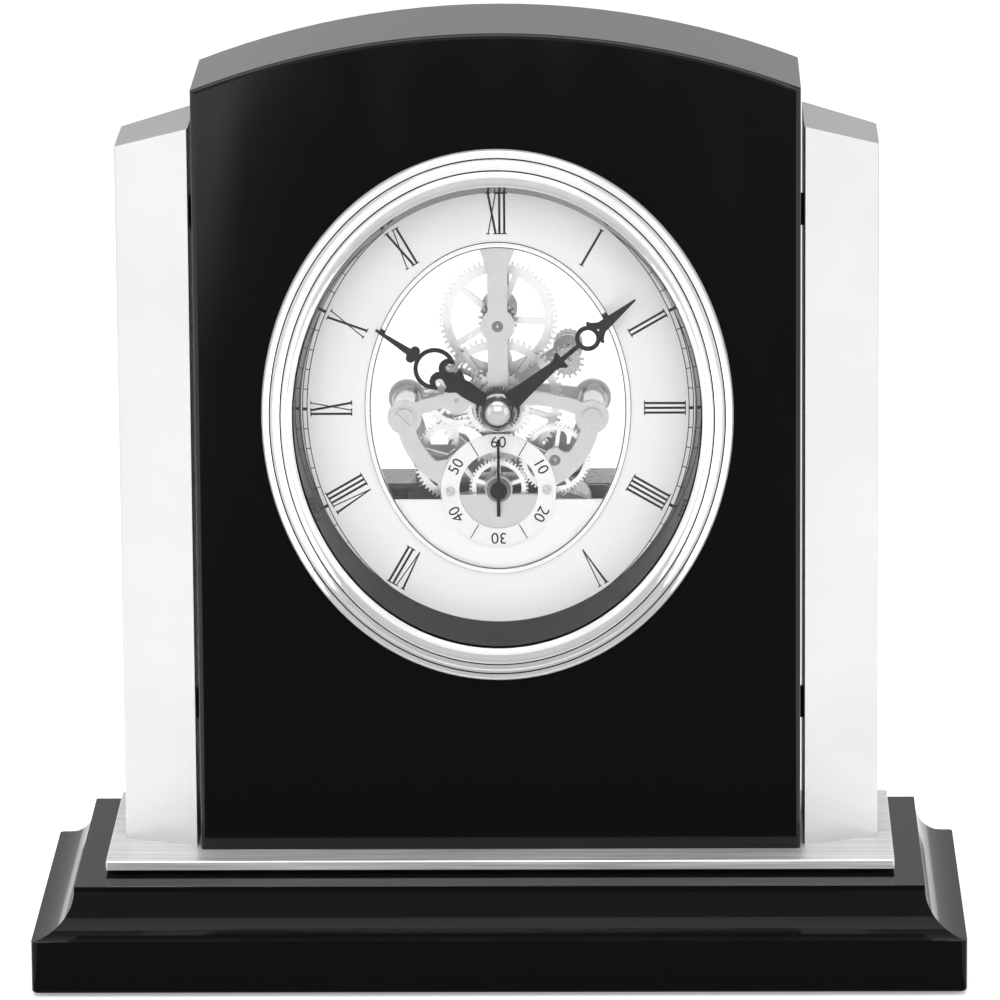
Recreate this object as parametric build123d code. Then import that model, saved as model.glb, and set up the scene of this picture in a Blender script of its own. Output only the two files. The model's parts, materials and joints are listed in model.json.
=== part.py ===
from build123d import *
import os
from math import atan2, cos, degrees, hypot, pi, radians, sin, sqrt

os.makedirs("parts", exist_ok=True)

# A skeleton mantel clock on a stepped plinth. X right, Y to the back, Z up; millimetres.
# The dial faces -Y. The origin is on the table under the middle of the plinth.

# --- driving dimensions: plinth, base plate, case and pillars ---
PLINTH_W, PLINTH_D = 229.0, 105.4
FELT = 0.8
SLAB_TOP = 13.8
COVE_IN = 10.1
PLINTH_TOP = 25.1
SPACER_T, PLATE_T = 1.1, 2.2
PLATE_W = 194.6
PLATE_FRONT, PLATE_BACK = -31.0, 36.9
FLOOR = PLINTH_TOP + SPACER_T + PLATE_T
CASE_W = 148.6
CASE_FRONT, CASE_BACK = -19.8, 26.0
CASE_SHOULDER, CASE_APEX = 219.1, 232.9
PILLAR_IN, PILLAR_OUT = 75.2, 93.6
PILLAR_FRONT_IN, PILLAR_FRONT_OUT, PILLAR_REAR = -15.9, -8.6, 19.8
PILLAR_TOP_IN, PILLAR_TOP_OUT = 209.1, 203.5

# --- driving dimensions: dial group, all ovals about the hand centre ---
CZ = 138.1
TUNNEL = (53.0, 61.5)
BEZEL_OUT = (57.9, 66.5)
BEZEL_LIP = (50.2, 57.7)
DIAL_OPEN = (48.5, 53.9)
INNER_OVAL = (31.3, 40.2)
BEZEL_FACE = -24.8
DIAL_FACE = -10.0
DIAL_T = 0.8
MASK_CHORD = -23.2

# --- driving dimensions: movement layers (Y of the front of each layer) ---
PLATE_Y, PLATE_BACK_Y = DIAL_FACE + DIAL_T, -7.6
REAR_Y, REAR_BACK_Y = 14.5, 16.0
LAYER_T = 1.1
LAYER_A, LAYER_B, LAYER_C, LAYER_D, LAYER_E = -6.9, -5.0, -3.2, -1.4, 0.6
END_PLAY = 0.15
RUN = 0.05

# --- arbor places relative to the hand centre (X, Z) ---
CENTRE = (0.0, 0.0)
SECONDS = (0.0, -20.7)
THIRD = (-10.2, -14.4)
IDLER = (13.9, -13.3)
MOTION = (-10.2, 1.9)
POSTS = [(-23.1, -2.5), (23.1, -2.5), (0.0, 45.0)]


def dist(p, q):
    return hypot(q[0] - p[0], q[1] - p[1])


def angle_to(p, q):
    return degrees(atan2(q[1] - p[1], q[0] - p[0]))


def from_point(p, length, angle):
    return (p[0] + length * cos(radians(angle)), p[1] + length * sin(radians(angle)))


# --- gear train: tooth counts, and modules from the centre distances ---
Z_CENTRE, Z_THIRD_PINION, Z_DISPLAY_PINION, Z_SETTING = 64, 8, 19, 16
Z_THIRD, Z_SECONDS_PINION = 60, 8
Z_IDLER, Z_SECONDS, Z_STEP_PINION = 55, 45, 15
Z_STEP, Z_ROTOR = 60, 6
Z_CANNON, Z_MOTION, Z_MOTION_PINION, Z_HOUR = 12, 36, 10, 40
Z_DISPLAY = 64
M_CENTRE = 2 * dist(CENTRE, THIRD) / (Z_CENTRE + Z_THIRD_PINION)
M_THIRD = 2 * dist(THIRD, SECONDS) / (Z_THIRD + Z_SECONDS_PINION)
M_IDLER = 2 * dist(IDLER, SECONDS) / (Z_IDLER + Z_SECONDS)
M_CANNON = 2 * dist(CENTRE, MOTION) / (Z_CANNON + Z_MOTION)
M_HOUR = 2 * dist(CENTRE, MOTION) / (Z_MOTION_PINION + Z_HOUR)
M_DISPLAY = 0.447
M_STEP = 0.18
DISPLAY = (0.0, M_CENTRE * (Z_CENTRE + Z_DISPLAY_PINION) / 2)
SETTING = from_point(CENTRE, M_CENTRE * (Z_CENTRE + Z_SETTING) / 2, 30)
STEP = from_point(IDLER, M_IDLER * (Z_IDLER + Z_STEP_PINION) / 2, -72)
ROTOR = from_point(STEP, M_STEP * (Z_STEP + Z_ROTOR) / 2, -110)

# --- hands at rest, degrees clockwise from twelve: 10:08 and a half ---
HOUR_ANGLE, MINUTE_ANGLE = -55.8, 50.5


# --- helpers: everything on the dial is a flat outline given a front Y and a thickness ---
def slab(outline, front, thickness, centre=CENTRE):
    plane = Plane((centre[0], front + thickness, CZ + centre[1]), x_dir=(1, 0, 0), z_dir=(0, -1, 0))
    return extrude(plane * outline, amount=thickness)


def oval(axes, grow=0.0):
    return Ellipse(axes[0] + grow, axes[1] + grow)


def disc(radius, centre=CENTRE):
    return Pos(*centre) * Circle(radius)


def bar(p, q, width):
    middle = ((p[0] + q[0]) / 2, (p[1] + q[1]) / 2)
    strip = Pos(*middle) * Rot(0, 0, angle_to(p, q)) * Rectangle(dist(p, q), width)
    return strip + disc(width / 2, p) + disc(width / 2, q)


def rod(radius, front, back, centre=CENTRE):
    return slab(Circle(radius), front, back - front, centre)


def block(x0, x1, y0, y1, z0, z1):
    return Pos((x0 + x1) / 2, (y0 + y1) / 2, (z0 + z1) / 2) * Box(x1 - x0, y1 - y0, z1 - z0)


def upright(radius, z0, z1, x, y):
    return Pos(x, y, (z0 + z1) / 2) * Cylinder(radius, z1 - z0)


def write(shape, node):
    export_step(shape, f"parts/{node}.step")


def group(solids, label):
    return Compound(label=label, children=list(solids))


# --- gears: radial flanks, rounded tips ---
def gear(teeth, module, phase, width, addendum, dedendum):
    pitch_r = teeth * module / 2
    step = 360 / teeth
    half = step * width / 2
    root_r = pitch_r - dedendum * module
    tip_r = pitch_r + addendum * module

    def at(radius, angle):
        return (radius * cos(radians(angle)), radius * sin(radians(angle)))

    edges = []
    for k in range(teeth):
        mid = phase + k * step
        low, high = mid - half, mid + half
        edges.append(Line(at(root_r, low), at(pitch_r, low)))
        edges.append(Line(at(pitch_r, low), at(tip_r, mid - half * 0.32)))
        edges.append(Line(at(tip_r, mid - half * 0.32), at(tip_r, mid + half * 0.32)))
        edges.append(Line(at(tip_r, mid + half * 0.32), at(pitch_r, high)))
        edges.append(Line(at(pitch_r, high), at(root_r, high)))
        edges.append(Line(at(root_r, high), at(root_r, low + step)))
    return make_face(Wire(edges))


def wheel(teeth, module, phase=0.0):
    return gear(teeth, module, phase, 0.43, 0.85, 1.3)


def pinion(teeth, module, phase=0.0):
    return gear(teeth, module, phase, 0.33, 0.65, 1.25)


def mate(phase, teeth, centre, other_teeth, other_centre):
    """Phase of the second gear that puts its gap on a tooth of the first."""
    direction = angle_to(centre, other_centre)
    pitch = 360 / teeth
    offset = ((direction - phase) % pitch) / pitch
    return direction + 180 + (offset - 0.5) * 360 / other_teeth


def spokes(rim_r, hub_r, count, width, first=0.0):
    openings = disc(rim_r) - disc(hub_r)
    for k in range(count):
        angle = first + k * 360 / count
        openings -= Rot(0, 0, angle) * Pos(rim_r / 2, 0) * Rectangle(rim_r + 1, width)
    return openings


# --- plinth, plates and feet ---
def make_plinth():
    slab_part = block(-PLINTH_W / 2, PLINTH_W / 2, -PLINTH_D / 2, PLINTH_D / 2, FELT, SLAB_TOP)
    slab_part = fillet(slab_part.edges().filter_by(Axis.Z), 1.6)
    slab_part = fillet(slab_part.edges().group_by(Axis.Z)[0], 0.8)
    rise = PLINTH_TOP - SLAB_TOP
    path_half_w, path_half_d = PLINTH_W / 2 - COVE_IN, PLINTH_D / 2 - COVE_IN
    lift = block(-path_half_w, path_half_w, -path_half_d, path_half_d, SLAB_TOP, PLINTH_TOP)
    cove = Plane.XZ * make_face(Wire([
        Line((path_half_w - 1, SLAB_TOP), (path_half_w + COVE_IN - 0.4, SLAB_TOP)),
        ThreePointArc(
            (path_half_w + COVE_IN - 0.4, SLAB_TOP),
            (path_half_w + 0.30 * COVE_IN, SLAB_TOP + 0.28 * rise),
            (path_half_w, PLINTH_TOP),
        ),
        Line((path_half_w, PLINTH_TOP), (path_half_w - 1, PLINTH_TOP)),
        Line((path_half_w - 1, PLINTH_TOP), (path_half_w - 1, SLAB_TOP)),
    ]))
    side = extrude(cove, amount=PLINTH_D / 2, both=True)
    front = Rot(0, 0, 90) * extrude(
        Pos(PLINTH_D / 2 - PLINTH_W / 2, 0, 0) * cove, amount=PLINTH_W / 2, both=True)
    sides = side + Rot(0, 0, 180) * side
    ends = front + Rot(0, 0, 180) * front
    skirt = (sides + block(-path_half_w, path_half_w, -60, 60, SLAB_TOP, PLINTH_TOP))
    skirt &= (ends + block(-120, 120, -path_half_d, path_half_d, SLAB_TOP, PLINTH_TOP))
    plinth = slab_part + skirt + lift
    for x, y in CASE_SCREWS + PILLAR_SCREWS:
        plinth -= upright(4.2, 0, SCREW_SEAT, x, y)
        plinth -= upright(2.2, 0, PLINTH_TOP, x, y)
    return plinth


SCREW_SEAT = 12.0
CASE_SCREWS = [(-50, 18), (50, 18), (-50, -12), (50, -12)]
PILLAR_SCREWS = [(-84, 10), (84, 10)]
FEET = [(sx * 98, sy * 38) for sx in (-1, 1) for sy in (-1, 1)]

write(make_plinth(), "plinth")
write(group([upright(9, 0, FELT, x, y) for x, y in FEET], "felt_feet"), "felt_feet")


def plate_blank(grow, z0, z1):
    return block(-PLATE_W / 2 - grow, PLATE_W / 2 + grow, PLATE_FRONT - grow, PLATE_BACK + grow, z0, z1)


spacer = plate_blank(-3, PLINTH_TOP, PLINTH_TOP + SPACER_T)
base_plate = plate_blank(0, PLINTH_TOP + SPACER_T, FLOOR)
base_plate = fillet(base_plate.edges().filter_by(Axis.Z), 0.6)
base_plate = chamfer(base_plate.edges().group_by(Axis.Z)[-1], 0.25)
for x, y in CASE_SCREWS + PILLAR_SCREWS:
    spacer -= upright(2.2, 0, FLOOR, x, y)
    base_plate -= upright(2.2, 0, FLOOR, x, y)
write(spacer, "plate_spacer")
write(base_plate, "base_plate")


def upright_screw(x, y, length):
    screw = upright(3.6, SCREW_SEAT - 2.2, SCREW_SEAT, x, y) + upright(1.9, SCREW_SEAT, length, x, y)
    return screw - block(x - 3, x + 3, y - 0.4, y + 0.4, SCREW_SEAT - 2.3, SCREW_SEAT - 1.3)


write(group([upright_screw(x, y, FLOOR + 14) for x, y in CASE_SCREWS], "case_screws"), "case_screws")
write(group([upright_screw(x, y, FLOOR + 14) for x, y in PILLAR_SCREWS], "pillar_screws"), "pillar_screws")


# --- case: arched block with an oval tunnel ---
def make_case():
    half = CASE_W / 2
    outline = make_face(Wire([
        Line((-half, FLOOR), (half, FLOOR)),
        Line((half, FLOOR), (half, CASE_SHOULDER)),
        ThreePointArc((half, CASE_SHOULDER), (0, CASE_APEX), (-half, CASE_SHOULDER)),
        Line((-half, CASE_SHOULDER), (-half, FLOOR)),
    ]))
    body = extrude(Plane((0, CASE_BACK, 0), x_dir=(1, 0, 0), z_dir=(0, -1, 0)) * outline,
                   amount=CASE_BACK - CASE_FRONT)
    rim = body.edges().filter_by(GeomType.CIRCLE) + body.edges().filter_by(Axis.Z)
    body = fillet(rim.filter_by(lambda e: abs(e.center().Y - CASE_FRONT) < 0.1), 1.2)
    body -= slab(oval(TUNNEL), CASE_FRONT - 1, CASE_BACK - CASE_FRONT + 2)
    for x, y in CASE_SCREWS:
        body -= upright(1.9, FLOOR - 1, FLOOR + 14, x, y)
    return body


write(make_case(), "case_body")


# --- pillars: bars with a raked front face and a sloping top ---
def make_pillar():
    foot = make_face(Polyline(
        (PILLAR_IN, PILLAR_FRONT_IN), (PILLAR_OUT, PILLAR_FRONT_OUT),
        (PILLAR_OUT, PILLAR_REAR), (PILLAR_IN, PILLAR_REAR), close=True))
    pillar = extrude(Pos(0, 0, FLOOR) * foot, amount=CASE_APEX - FLOOR)
    above = Plane.XZ * make_face(Polyline(
        (PILLAR_IN - 5, CASE_APEX + 5),
        (PILLAR_IN - 5, PILLAR_TOP_IN + 5 * TOP_FALL), (PILLAR_OUT + 5, PILLAR_TOP_OUT - 5 * TOP_FALL),
        (PILLAR_OUT + 5, CASE_APEX + 5), close=True))
    pillar -= extrude(above, amount=60, both=True)
    pillar = chamfer(pillar.edges().filter_by(Axis.Z), 0.3)
    return pillar - upright(1.9, FLOOR - 1, FLOOR + 14, *PILLAR_SCREWS[1])


TOP_FALL = (PILLAR_TOP_IN - PILLAR_TOP_OUT) / (PILLAR_OUT - PILLAR_IN)
right_pillar = make_pillar()
write(right_pillar, "pillar_right")
write(mirror(right_pillar, about=Plane.YZ), "pillar_left")
write(group([
    Pos(side * (CASE_W / 2 + PILLAR_IN) / 2, 4, z) * Rot(0, 90, 0) * Cylinder(4, PILLAR_IN - CASE_W / 2)
    for side in (-1, 1) for z in (60, 185)], "pillar_spacers"), "pillar_spacers")


# --- bezel, glass, rehaut and dial ---
def make_bezel():
    low = slab(oval(BEZEL_OUT), CASE_FRONT - 2.0, 2.0)
    low = fillet(low.edges().group_by(Axis.Y)[0], 1.9)
    mid = slab(oval(BEZEL_OUT, -2.2), CASE_FRONT - 3.6, 3.6)
    mid = fillet(mid.edges().group_by(Axis.Y)[0], 2.6)
    top = slab(oval(BEZEL_OUT, -4.9), BEZEL_FACE, CASE_FRONT - BEZEL_FACE)
    top -= slab(oval(BEZEL_LIP), BEZEL_FACE - 1, 12)
    top = fillet(top.edges().group_by(Axis.Y)[0], 1.3)
    spigot = slab(oval(TUNNEL, -0.15), CASE_FRONT, 3.0)
    ring = low + mid + spigot - slab(oval(BEZEL_LIP), BEZEL_FACE - 1, 12) + top
    return ring - slab(oval(GLASS_EDGE, 0.0), GLASS_FRONT, 12)


GLASS_EDGE = (51.2, 58.9)
GLASS_FRONT = -23.2
write(make_bezel(), "bezel")
write(slab(oval(GLASS_EDGE), GLASS_FRONT, 1.6), "glass")
write(slab(oval(GLASS_EDGE) - oval(BEZEL_LIP, -0.3), GLASS_FRONT + 1.6, 0.6), "glass_gasket")


def make_rehaut():
    front, back = GLASS_FRONT + 2.2, DIAL_FACE
    outside = slab(oval(GLASS_EDGE), front, back - front)
    near = Plane((0, front, CZ), x_dir=(1, 0, 0), z_dir=(0, -1, 0)) * oval(BEZEL_LIP, -0.3)
    far = Plane((0, back, CZ), x_dir=(1, 0, 0), z_dir=(0, -1, 0)) * oval(DIAL_OPEN)
    return outside - loft([far, near])


write(make_rehaut(), "rehaut")
write(slab(oval(TUNNEL, -1.0) - oval(INNER_OVAL, 0.6), DIAL_FACE, DIAL_T), "dial_ring")
write(slab(oval(TUNNEL) - oval(TUNNEL, -6.0), PLATE_Y, 4.0), "dial_carrier")
inner_rim = slab(oval(INNER_OVAL, 1.35) - oval(INNER_OVAL), DIAL_FACE - 0.5, 0.5)
inner_rim += slab(oval(INNER_OVAL, 1.05) - oval(INNER_OVAL, 0.3), DIAL_FACE - 0.7, 0.2)
inner_rim += slab(oval(INNER_OVAL, 0.6) - oval(INNER_OVAL), DIAL_FACE, DIAL_T)
write(inner_rim, "inner_rim")

SECONDS_PLATE_R, SECONDS_RING_R, SECONDS_OPEN_R = 13.2, 14.2, 9.7
mask = oval(INNER_OVAL, 2.4) & (Pos(0, MASK_CHORD - 40) * Rectangle(90, 80))
mask -= disc(SECONDS_PLATE_R + 0.2, SECONDS)
write(slab(mask, PLATE_Y, 0.8), "mask_plate")


# --- skeleton front plate ---
def arc_bar(p, middle, q, width):
    centre_line = ThreePointArc(p, middle, q)
    outline = Sketch()
    steps = 8
    points = [centre_line @ (k / steps) for k in range(steps + 1)]
    for start, end in zip(points, points[1:]):
        outline += bar((start.X, start.Y), (end.X, end.Y), width)
    return outline


SEC_SCREWS = [(-11.9, -20.9), (11.9, -20.5)]
LEFT_POST, RIGHT_POST, TOP_POST = POSTS


def front_outline():
    plate = bar(CENTRE, (0, 38), 4.9) + disc(6.2) + disc(4.2, DISPLAY)
    plate += make_face(Polyline((-2.45, 34.5), (2.45, 34.5), (5.2, 42), (5.2, 49), (-5.2, 49), (-5.2, 42),
                                close=True))
    for side, post in ((-1, LEFT_POST), (1, RIGHT_POST)):
        plate += arc_bar((side * 4, 2.2), (side * 13.5, 1.6), (post[0], post[1] + 0.6), 3.2)
        plate += disc(4.2, post)
        plate += arc_bar(post, (side * 19.6, -12.2), (side * 11.5, -18.5), 4.3)
    plate += disc(2.9, IDLER) + bar(IDLER, (18.2, -12.8), 3.0)
    plate += disc(2.6, THIRD) + bar(THIRD, (-15.5, -15.2), 3.0)
    plate += disc(3.4, MOTION)
    ring = disc(SECONDS_PLATE_R, SECONDS)
    opening = disc(SECONDS_OPEN_R + 0.5, SECONDS) & (Pos(0, -22.0 + 20) * Rectangle(60, 40))
    ring -= opening
    ring += disc(3.4, SECONDS) + bar(SECONDS, (0, -24), 4.4)
    clear = disc(SECONDS_OPEN_R + 0.5, SECONDS) & (Pos(0, -22.0 + 20) * Rectangle(60, 40))
    plate = (plate - clear) + ring + (disc(2.6, THIRD) & disc(SECONDS_PLATE_R + 5, SECONDS))
    return plate


def drill(plate, holes):
    for radius, centre in holes:
        plate -= disc(radius, centre)
    return plate


ARBOR_R = 0.45
STUD_R = 0.7
front_holes = [(2.9, CENTRE), (1.4, DISPLAY), (1.4, IDLER), (1.0, THIRD), (1.6, SECONDS), (STUD_R, MOTION)]
front_holes += [(1.25, post) for post in POSTS] + [(0.7, place) for place in SEC_SCREWS]
front_plate = slab(drill(front_outline(), front_holes), PLATE_Y, PLATE_BACK_Y - PLATE_Y)
write(front_plate, "front_plate")

# --- skeleton rear plate, posts, bushings and screws ---
REAR_CORNERS = [(-18.5, -18.0), (18.5, -18.0)]
rear = bar(CENTRE, TOP_POST, 5.0) + disc(6.0) + disc(4.5, DISPLAY) + disc(5.0, TOP_POST)
for post, corner in zip(POSTS, REAR_CORNERS):
    rear += bar(CENTRE, post, 4.2) + disc(4.6, post) + bar(post, corner, 4.4)
rear += bar(REAR_CORNERS[0], REAR_CORNERS[1], 7.0)
rear += disc(2.8, THIRD) + disc(2.8, IDLER) + bar(CENTRE, SETTING, 4.0) + disc(3.6, SETTING)
rear_holes = [(0.5, CENTRE), (0.5, DISPLAY), (0.5, THIRD), (0.5, IDLER), (0.5, SECONDS), (1.25, SETTING)]
rear_holes += [(1.25, post) for post in POSTS] + [(0.9, corner) for corner in REAR_CORNERS]
write(slab(drill(rear, rear_holes), REAR_Y, REAR_BACK_Y - REAR_Y), "rear_plate")


def post_at(place):
    post = rod(3.2, PLATE_BACK_Y, REAR_Y, place) + rod(3.7, REAR_Y - 2.6, REAR_Y, place)
    return post - rod(1.05, PLATE_BACK_Y, PLATE_BACK_Y + 5, place) - rod(1.05, REAR_Y - 5, REAR_Y, place)


write(group([post_at(place) for place in POSTS], "plate_posts"), "plate_posts")


def slotted_screw(place, head_r, head_t, shank_r, shank, front, turn):
    screw = rod(head_r, front, front + head_t, place) + rod(shank_r, front + head_t, front + head_t + shank, place)
    slot = Pos(*place) * Rot(0, 0, turn) * Rectangle(3 * head_r, 0.28 * head_r)
    return screw - slab(slot, front - 1, 1 + 0.5 * head_t)


HEAD_T = 1.0
write(group([slotted_screw(post, 2.35, HEAD_T, 1.0, 6.0, PLATE_Y - HEAD_T, turn)
             for post, turn in zip(POSTS[:2], (-45, 90))], "plate_screws"), "plate_screws")


def from_behind(screw):
    return mirror(screw, about=Plane((0, (PLATE_Y + REAR_BACK_Y) / 2, 0), z_dir=(0, 1, 0)))


write(group([from_behind(slotted_screw(post, 2.35, HEAD_T, 1.0, 6.0, PLATE_Y - HEAD_T, 30))
             for post in POSTS], "rear_screws"), "rear_screws")
SEC_DIAL_T = 0.6
seconds_face = disc(SECONDS_RING_R, SECONDS) - disc(SECONDS_OPEN_R, SECONDS)
seconds_face = drill(seconds_face, [(0.7, place) for place in SEC_SCREWS])
write(slab(seconds_face, PLATE_Y - SEC_DIAL_T, SEC_DIAL_T), "seconds_dial")
write(group([slotted_screw(place, 1.15, 0.5, 0.6, 2.0, PLATE_Y - SEC_DIAL_T - 0.5, turn)
             for place, turn in zip(SEC_SCREWS, (-40, 20))], "seconds_dial_screws"), "seconds_dial_screws")
BUSH_BACK = PLATE_BACK_Y


def bushing(place, outer, inner):
    return slab(disc(outer) - disc(inner), PLATE_Y, BUSH_BACK - PLATE_Y, place)


write(group([
    bushing(DISPLAY, 1.4, 0.5), bushing(IDLER, 1.4, 0.5), bushing(THIRD, 1.0, 0.5),
    slab(disc(3.1) - disc(0.5), PLATE_Y - 0.5, 0.5, SECONDS) + slab(disc(1.6) - disc(0.5), PLATE_Y, 1.6, SECONDS),
], "pivot_bushings"), "pivot_bushings")

# --- train: each arbor turns in the two plates ---
PIVOT_R = 0.45


def arbor(place, radius, front, back):
    """A shaft with thinner pivots that reach into both plates."""
    middle = rod(radius, PLATE_BACK_Y + END_PLAY, REAR_Y - END_PLAY, place)
    return middle + rod(PIVOT_R, front, PLATE_BACK_Y + END_PLAY, place) + rod(PIVOT_R, REAR_Y - END_PLAY, back, place)


centre_phase = 4.0
third_pinion_phase = mate(centre_phase, Z_CENTRE, CENTRE, Z_THIRD_PINION, THIRD)
display_pinion_phase = mate(centre_phase, Z_CENTRE, CENTRE, Z_DISPLAY_PINION, DISPLAY)
setting_phase = mate(centre_phase, Z_CENTRE, CENTRE, Z_SETTING, SETTING)
seconds_pinion_phase = mate(0, Z_THIRD, THIRD, Z_SECONDS_PINION, SECONDS)
seconds_wheel_phase = mate(0, Z_IDLER, IDLER, Z_SECONDS, SECONDS)
step_pinion_phase = mate(0, Z_IDLER, IDLER, Z_STEP_PINION, STEP)
rotor_phase = mate(0, Z_STEP, STEP, Z_ROTOR, ROTOR)
motion_phase = mate(0, Z_CANNON, CENTRE, Z_MOTION, MOTION)
hour_phase = mate(0, Z_MOTION_PINION, MOTION, Z_HOUR, CENTRE)

SHAFT_R = 0.6


def spoked_wheel(teeth, module, phase, bore, rim, hub, count, width, first=0.0):
    outline = wheel(teeth, module, phase)
    outline -= spokes(rim, hub, count, width, first)
    return outline - disc(bore)


third_wheel = spoked_wheel(Z_THIRD, M_THIRD, 0, SHAFT_R, 8.6, 2.6, 5, 1.1, 20)
write(slab(third_wheel, LAYER_C, LAYER_T, THIRD), "third_wheel")
third_arbor = arbor(THIRD, SHAFT_R, PLATE_Y + 0.2, REAR_BACK_Y - 0.2)
third_arbor += slab(pinion(Z_THIRD_PINION, M_CENTRE, third_pinion_phase), LAYER_D, LAYER_T, THIRD)
write(third_arbor, "third_arbor")

CENTRE_BORE = 0.9
CANNON_FRONT = -14.6
HOUR_PIPE_R, HOUR_BORE = 2.6, 1.75
CANNON_R = 1.7
centre_wheel = spoked_wheel(Z_CENTRE, M_CENTRE, centre_phase, CENTRE_BORE, 13.2, 3.2, 5, 1.4, 54)
write(slab(centre_wheel, LAYER_D, LAYER_T), "centre_wheel")
centre_arbor = rod(CENTRE_BORE, LAYER_B + LAYER_T, REAR_Y - END_PLAY) + rod(PIVOT_R, REAR_Y - END_PLAY, 15.8)
centre_arbor += slab(pinion(Z_CANNON, M_CANNON, 0), LAYER_B, LAYER_T)
centre_arbor += rod(CANNON_R, -13.8, LAYER_B) + rod(1.2, CANNON_FRONT, -13.8)
write(centre_arbor, "centre_arbor")

display_wheel = spoked_wheel(Z_DISPLAY, M_DISPLAY, 2.0, SHAFT_R, 11.6, 3.4, 5, 1.5, -4)
write(slab(display_wheel, LAYER_E, LAYER_T, DISPLAY), "display_wheel")
display_arbor = arbor(DISPLAY, SHAFT_R, PLATE_Y + 0.2, REAR_BACK_Y - 0.2)
display_arbor += slab(pinion(Z_DISPLAY_PINION, M_CENTRE, display_pinion_phase), LAYER_D, LAYER_T, DISPLAY)
write(display_arbor, "display_arbor")

seconds_wheel = spoked_wheel(Z_SECONDS, M_IDLER, seconds_wheel_phase, SHAFT_R, 5.6, 2.2, 5, 0.9, 18)
write(slab(seconds_wheel, LAYER_A, LAYER_T, SECONDS), "seconds_wheel")
seconds_arbor = arbor(SECONDS, SHAFT_R, -11.6, REAR_BACK_Y - 0.2)
seconds_arbor += slab(pinion(Z_SECONDS_PINION, M_THIRD, seconds_pinion_phase), LAYER_C, LAYER_T, SECONDS)
write(seconds_arbor, "seconds_arbor")

idler_wheel = spoked_wheel(Z_IDLER, M_IDLER, 0, SHAFT_R, 7.1, 2.2, 5, 1.0, 10)
write(slab(idler_wheel, LAYER_A, LAYER_T, IDLER), "idler_wheel")
write(arbor(IDLER, SHAFT_R, PLATE_Y + 0.2, REAR_BACK_Y - 0.2), "idler_arbor")

# --- motion work: cannon, minute wheel on its stud, hour wheel ---
motion_wheel = spoked_wheel(Z_MOTION, M_CANNON, motion_phase, STUD_R + RUN, 5.9, 2.2, 4, 1.0, 45)
motion = slab(motion_wheel, LAYER_B, LAYER_T, MOTION)
motion += slab(pinion(Z_MOTION_PINION, M_HOUR, 0) - disc(STUD_R + RUN), LAYER_A, LAYER_B - LAYER_A, MOTION)
write(motion, "motion_wheel")
STUD_END = LAYER_B + LAYER_T + 0.2
write(rod(STUD_R, PLATE_Y, STUD_END, MOTION) + rod(1.2, STUD_END, STUD_END + 0.4, MOTION), "motion_stud")
COLLET_FRONT = -12.3
hour_wheel = slab(spoked_wheel(Z_HOUR, M_HOUR, hour_phase, HOUR_BORE, 6.6, 3.6, 4, 1.2, 0), LAYER_A, LAYER_T)
hour_wheel += slab(disc(HOUR_PIPE_R) - disc(HOUR_BORE), COLLET_FRONT, LAYER_A - COLLET_FRONT)
write(hour_wheel, "hour_wheel")
write(slab(gear(36, 0.29, 0, 0.5, 0.9, 0.6) - disc(HOUR_PIPE_R), PLATE_Y - 2.6, 2.3), "hour_collet")

# --- quartz motor: rotor, step wheel, stator, coil, bridge and carrier ---
BRIDGE_Y, BRIDGE_T = -8.2, 0.9
CARRIER_Y, CARRIER_T = 1.6, 1.6
STEP_LAYER = -4.6
step = slab(wheel(Z_STEP, M_STEP, 0), STEP_LAYER, 0.9, STEP)
step += slab(pinion(Z_STEP_PINION, M_IDLER, step_pinion_phase), LAYER_A, LAYER_T, STEP)
step += rod(0.8, LAYER_A + LAYER_T, STEP_LAYER, STEP) + rod(0.55, STEP_LAYER, CARRIER_Y - END_PLAY, STEP)
step += rod(0.4, BRIDGE_Y + 0.1, LAYER_A, STEP) + rod(0.4, CARRIER_Y - END_PLAY, CARRIER_Y + 1.3, STEP)
write(step, "step_wheel")
MAGNET_Y = -2.9
rotor = slab(pinion(Z_ROTOR, M_STEP, rotor_phase), STEP_LAYER, 0.9, ROTOR)
rotor += rod(0.3, BRIDGE_Y + 0.1, STEP_LAYER, ROTOR) + rod(0.5, STEP_LAYER + 0.9, CARRIER_Y - END_PLAY, ROTOR)
rotor += rod(2.5, MAGNET_Y, MAGNET_Y + 2.0, ROTOR) + rod(0.3, CARRIER_Y - END_PLAY, CARRIER_Y + 1.3, ROTOR)
write(rotor, "rotor")
CORE_Z, LIMB_Z, STATOR_LEFT = -36.2, -28.8, -15.0
CORE_W = 2.4
STATOR_Y, STATOR_T = -2.4, 1.0
stator = bar((STATOR_LEFT, CORE_Z), (ROTOR[0], CORE_Z), CORE_W)
stator += bar((STATOR_LEFT, LIMB_Z), (ROTOR[0], LIMB_Z), CORE_W) + disc(5.2, ROTOR)
stator += bar((STATOR_LEFT, CORE_Z), (STATOR_LEFT, LIMB_Z), 3.2) + bar(ROTOR, (ROTOR[0], CORE_Z), 5.0)
stator -= disc(3.0, ROTOR)
STANDOFFS = [(STATOR_LEFT, -32.5), (19.2, -38.6), (25.6, -26.4)]
stator -= disc(0.7, STANDOFFS[0])
write(slab(stator, STATOR_Y, STATOR_T), "stator")
coil = Pos(-2.5, STATOR_Y + STATOR_T / 2, CZ + CORE_Z) * Rot(0, 90, 0) * Cylinder(3.0, 20)
for x in (-12.6, 8.0):
    coil += Pos(x, STATOR_Y + STATOR_T / 2, CZ + CORE_Z) * Rot(0, 90, 0) * Cylinder(3.5, 1.0)
coil -= block(-20, 20, STATOR_Y, STATOR_Y + STATOR_T, CZ + CORE_Z - CORE_W / 2, CZ + CORE_Z + CORE_W / 2)
write(coil, "coil")
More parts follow.
